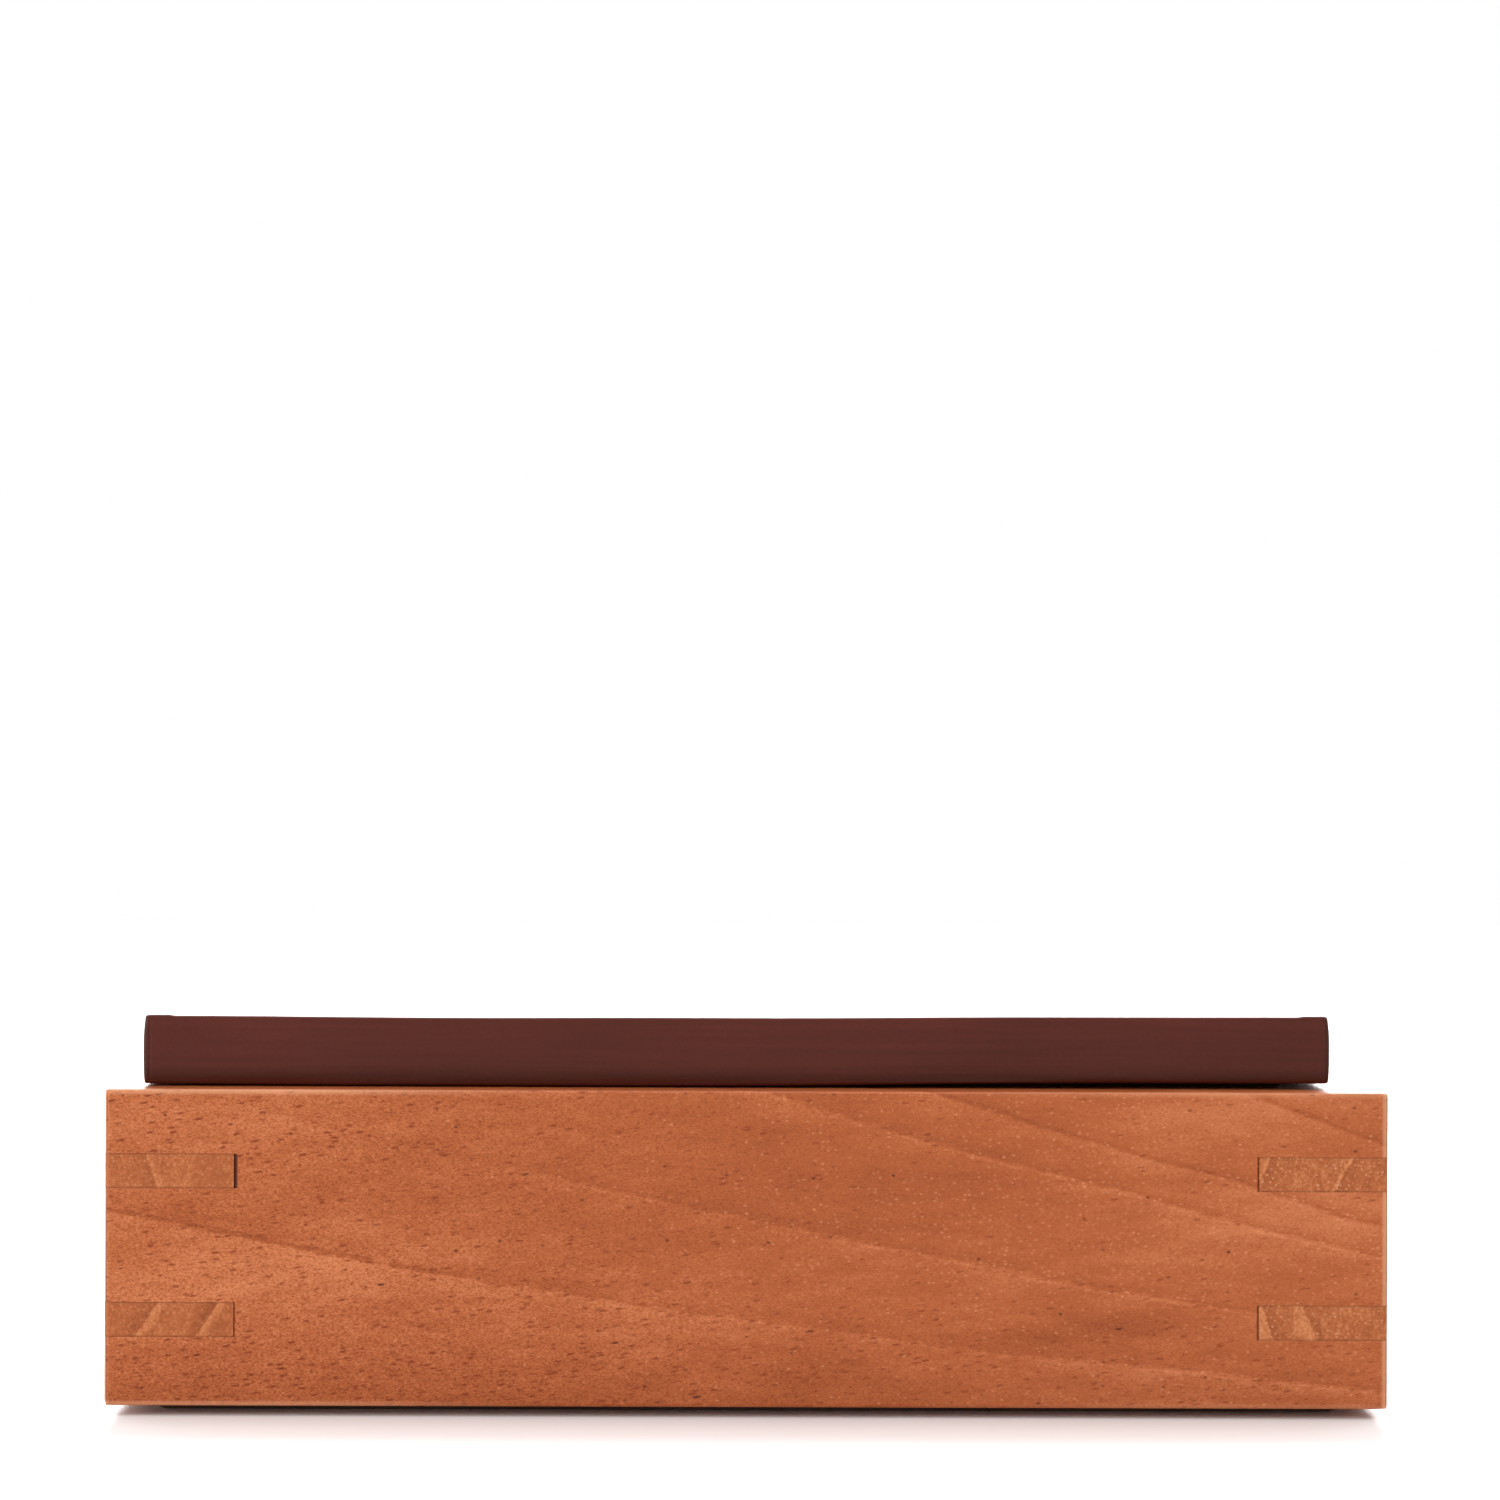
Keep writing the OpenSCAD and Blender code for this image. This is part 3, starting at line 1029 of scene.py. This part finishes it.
def cover_section():
    """The section of the cover, and how many of its points are outside.

    It runs over the top, down the side and in below. With t from 1 at the top of the side to -1
    at its foot, the side swells as 1 - t^2.5 above and is drawn in by |t|^3 below. The inside
    follows the board back to the middle."""
    edge, foot = cover_half - SIDE_SWELL, cover_half - LOWER_DRAW
    out = np.linspace(0.02, 1, 26) ** 0.8 * (edge - TOP_EDGE_R)
    t = np.linspace(1, -1, 17)[1:-1]
    drawn_in = np.where(t > 0, SIDE_SWELL * np.abs(t) ** 2.5, LOWER_DRAW * np.abs(t) ** 3)
    side_low, side_high = under_z + LOWER_EDGE_R, top_z - TOP_EDGE_R
    side_z = (side_low + side_high) / 2 + t * (side_high - side_low) / 2
    under = np.linspace(foot - LOWER_EDGE_R - 1.0, turn_in_edge, 8)
    outside = [
        section_of(out, np.minimum(CORNER_R, out * 0.5), top_z),
        rounding(edge, top_z, TOP_EDGE_R, CORNER_R),
        section_of(cover_half - drawn_in, CORNER_R, side_z),
        rounding(foot, under_z, LOWER_EDGE_R, CORNER_R, side=-1),
        section_of(under, CORNER_R, under_z),
    ]
    half = [turn_in_edge, board_half, board_half, board_half * 0.6, 0.5]
    low_in, high_in = under_z + LEATHER_T, top_z - LEATHER_T
    inside = section_of(half, INNER_CORNER_R, [low_in, low_in, high_in, high_in, high_in])
    return np.concatenate(outside + [inside]), sum(len(run) for run in outside)


section, outer_count = cover_section()
print("section of the cover:", len(section), "points,", outer_count, "of them outside")

# %% How the cover is warped, tucked and swollen
WARP_TOP = 0.33
WARP_UNDER = 0.42
WARP_LEFT = 0.1
EDGE_SAG = 0.17
TUCK_WIDTH = 3.3
TUCK_RISE = 0.12
TUCK_PROUD = 0.05
SEAM_PLACE = 0.85
SEAM_DEPTH = 0.07
SEAM_WIDTH = 0.13
TOP_UNEVEN = 0.035
FRONT_UNEVEN = 0.06
END_UNEVEN = 0.05


def lid_rise(x):
    """How far the underside of the lid is warped up at x: most at the right end."""
    return WARP_UNDER * step(x, -15.0, 55.0) + WARP_LEFT * step(-x, 48.0, 72.0)


def lifted(x, y, z):
    """How far the outside is moved up: the warp, less the sag of the lower edge, and the tuck.

    The warp goes from WARP_UNDER below to WARP_TOP above. The tuck stands proud on top within
    TUCK_WIDTH of each end, by the front and the back, and the top itself is uneven."""
    up = step(z, under_z, top_z)
    farther = np.maximum(np.abs(x), np.abs(y))
    from_end, from_front = cover_half - np.abs(x), cover_half - np.abs(y)
    warp = lid_rise(x) * (1 + (WARP_TOP / WARP_UNDER - 1) * up)
    near_edge = step(cover_half - farther, 5.0, 2.5)
    sag = EDGE_SAG * (1 - up) * near_edge * (1 - step(x, 0.0, 35.0))
    tuck = step(from_end, TUCK_WIDTH + 0.5, TUCK_WIDTH) * step(from_front, 3.0, 1.4)
    uneven = TOP_UNEVEN * waves(x, y, 34.0, 3) * step(farther, 0, cover_half * 0.5)
    on_top = z > top_z - 0.3
    return warp - sag + TUCK_RISE * tuck * up + np.where(on_top, uneven, 0)


def pushed_out(x, y, z):
    """Where x and y go: slow swell of all sides, and the seam and the tuck on front and back.

    The seam is a groove, -depth * exp(-(distance / width)^2)."""
    from_end, from_front = cover_half - np.abs(x), cover_half - np.abs(y)
    off_middle = np.abs(z - (under_z + top_z) / 2)
    on_side = step(from_front, 0.9, 0.5) * (1 - step(off_middle, 3.2, 4.0))
    on_end = step(from_end, 0.9, 0.5) * step(from_front, 0.8, 2.0)
    swell = FRONT_UNEVEN * waves(x, z * 2.5, 30.0, 8) * step(from_end, 0.0, 6.0)
    seam = -SEAM_DEPTH * np.exp(-(((from_end - SEAM_PLACE) / SEAM_WIDTH) ** 2))
    y = y + np.sign(y) * on_side * (swell + seam + TUCK_PROUD * step(from_end, 3.8, 3.2))
    return x + np.sign(x) * on_end * END_UNEVEN * waves(y, z * 2.5, 30.0, 9), y


def cover_rings():
    """The cover's rings in millimetres.

    Only the outer rings are moved, so the inner side stays flat against the board."""
    flat = round_square(section[:, 0], section[:, 1], along_side=112, crowd=2.6)
    x, y = flat[..., 0], flat[..., 1]
    z = np.repeat(section[:, 2:3], x.shape[1], axis=1)
    outer = (np.arange(len(section)) < outer_count)[:, None]
    z = z + np.where(outer, lifted(x, y, z), 0)
    moved_x, moved_y = pushed_out(x, y, z)
    x, y = np.where(outer, moved_x, x), np.where(outer, moved_y, y)
    return np.stack([x + cover_middle, y, z], axis=-1)


print("the lid's right end is warped up by", lid_rise(cover_half), "mm")

# %% Cover the lid
lid_leather = piece_from_rings(
    "leather_cover", cover_rings(), leather, "lid", "lid_cover"
)

# %% [markdown]
# ## Suede and felt
#
# The lid sits on dark suede, the floor of the box is lined with it, and a thin pad of
# taupe felt is glued under the box. All three are cut from sheet with a knife, so their
# edges are nearly square, a little crushed, and not quite straight. Suede and felt
# are a mass of fine fibres that swallow light, with a faint sheen at a low angle. Hair could
# be grown on them, but at this distance noise of three sizes reads as nap.

# %% Finish of suede and felt
SUEDE_DARK = (0.010, 0.005, 0.004)
SUEDE_PALE = (0.036, 0.018, 0.013)
FELT_DARK = (0.062, 0.036, 0.026)
FELT_PALE = (0.158, 0.098, 0.070)


def napped(name, dark, pale):
    """A napped sheet: fibres in clumps, and soft patches where the nap lies another way."""
    finish = Finish(name)
    place = finish.placed()
    clumps = finish.cloudy(place, (1.3, 1.3, 1.3), 4.0)
    fibres = finish.cloudy(place, (0.16, 0.16, 0.16), 3.0)
    value = 0.5 + 0.8 * finish.cloudy(place, (18, 18, 18)) + 0.7 * clumps + 0.7 * fibres
    return finish.surface(
        finish.ramp(value, [(0.0, dark), (1.0, pale)]),
        roughness=0.92 + 0.1 * clumps,
        specular=0.1,
        height=fibres + 0.6 * clumps,
        depth=0.12,
        sheen={"Sheen Weight": 0.15, "Sheen Roughness": 0.5, "Sheen Tint": opaque(pale)},
    )


dark_suede = napped("dark_suede", SUEDE_DARK, SUEDE_PALE)
taupe_felt = napped("taupe_felt", FELT_DARK, FELT_PALE)

# %% Shape of a cut sheet
EDGE_WANDER = 0.0006
SINK = 0.02
DEEPEST_SINK = 0.06


def cut_section(half, corner, edge_r, bottom, top):
    """The section of a sheet: out over the top, round the edge, and the same back below."""
    out = np.linspace(0.02, 1, 24) * (half - edge_r)
    over = section_of(out, np.minimum(corner, out * 0.5), top)
    upper = np.concatenate([over, rounding(half, top, edge_r, corner, points=5)[1:]])
    lower = upper[::-1].copy()
    lower[:, 2] = top + bottom - lower[:, 2]
    return np.concatenate([upper, lower])


def cut_sheet(node, corner, edge_r, seed, name, material, body, rise=None):
    """A flat sheet with the extent of a frame part, its edges rounded by edge_r and cut by hand.

    The edge wanders inwards by a share of the distance from the middle, and the upper face
    sinks by a few hundredths of a millimetre, both by seeded waves. rise is how far
    the top is lifted at each x, where what it is glued to is warped."""
    lowest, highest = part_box(node)
    middle = (lowest + highest) / 2 / MM
    half = (highest.x - lowest.x) / 2 / MM
    bottom, top = lowest.z / MM, highest.z / MM
    section = cut_section(half, corner, edge_r, bottom, top)
    flat = round_square(section[:, 0], section[:, 1], along_side=96, crowd=1.3)
    x, y = flat[..., 0], flat[..., 1]
    z = np.repeat(section[:, 2:3], x.shape[1], axis=1)
    near_edge = step(np.maximum(np.abs(x), np.abs(y)), half - 1.5, half)
    wander = 1 - EDGE_WANDER * near_edge * (1 + waves(x, y, 3.0, seed) * 0.5)
    sink = SINK * (1 + waves(x, y, 5.0, seed + 1)) * (1 - near_edge)
    raised = 0 if rise is None else rise(x)
    z = z + np.where(z > (top + bottom) / 2, raised - np.clip(sink, 0, DEEPEST_SINK), 0)
    rings = np.stack([x * wander + middle.x, y * wander + middle.y, z], axis=-1)
    piece = piece_from_rings(name, rings, material, body, node)
    return piece, 2 * half * MM


print("a sheet's edge wanders by about", round(EDGE_WANDER * half_box, 2), "mm")

# %% Cut the sheets
seat, seat_width = cut_sheet(
    "lid_seat", 0.6, 0.15, 21, "suede_seat", dark_suede, "lid", rise=lid_rise
)
lining, lining_width = cut_sheet(
    "floor_lining", 0.3, 0.25, 31, "suede_lining", dark_suede, "box"
)
pad, pad_width = cut_sheet("base_pad", 1.5, 0.3, 41, "felt_pad", taupe_felt, "box")

# %% [markdown]
# ## Close the frame
#
# Colours are shown as they are, with no film curve.

# %% Show colours as they are
scene.view_settings.view_transform = "Standard"
